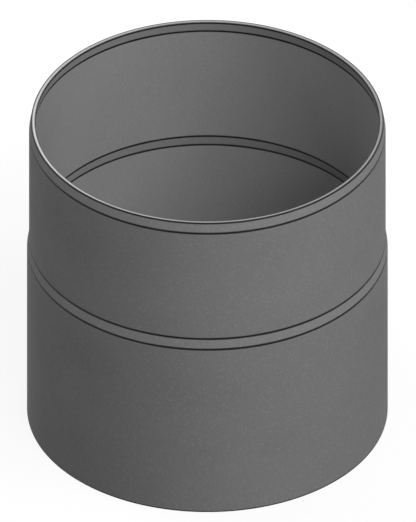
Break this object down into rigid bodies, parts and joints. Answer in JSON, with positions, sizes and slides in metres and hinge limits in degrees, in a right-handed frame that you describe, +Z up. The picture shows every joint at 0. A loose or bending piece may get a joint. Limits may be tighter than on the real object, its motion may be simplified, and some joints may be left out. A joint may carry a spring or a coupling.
{
  "type": "stove pipe section",
  "caption": "Straight stove pipe section: thin steel tube with an open socket at its foot, a sloping step to a narrower spigot, and a short lead-in under the rim.",
  "frame": {"origin": "on the pipe's axis, in the plane of the socket's mouth at the foot", "axes": "+Z up the pipe's axis, from the socket's mouth to the spigot's rim; the pipe is round about it, so X and Y are any two square directions"},
  "size_m": [0.154, 0.154, 0.1499],
  "materials": {
    "stove_paint": "matt cast-iron grey heat-resistant paint on rolled sheet steel, thin and pale on the cut ends"
  },
  "bodies": {
    "root": {"pipe_section": "stove_paint"}
  },
  "joints": []
}
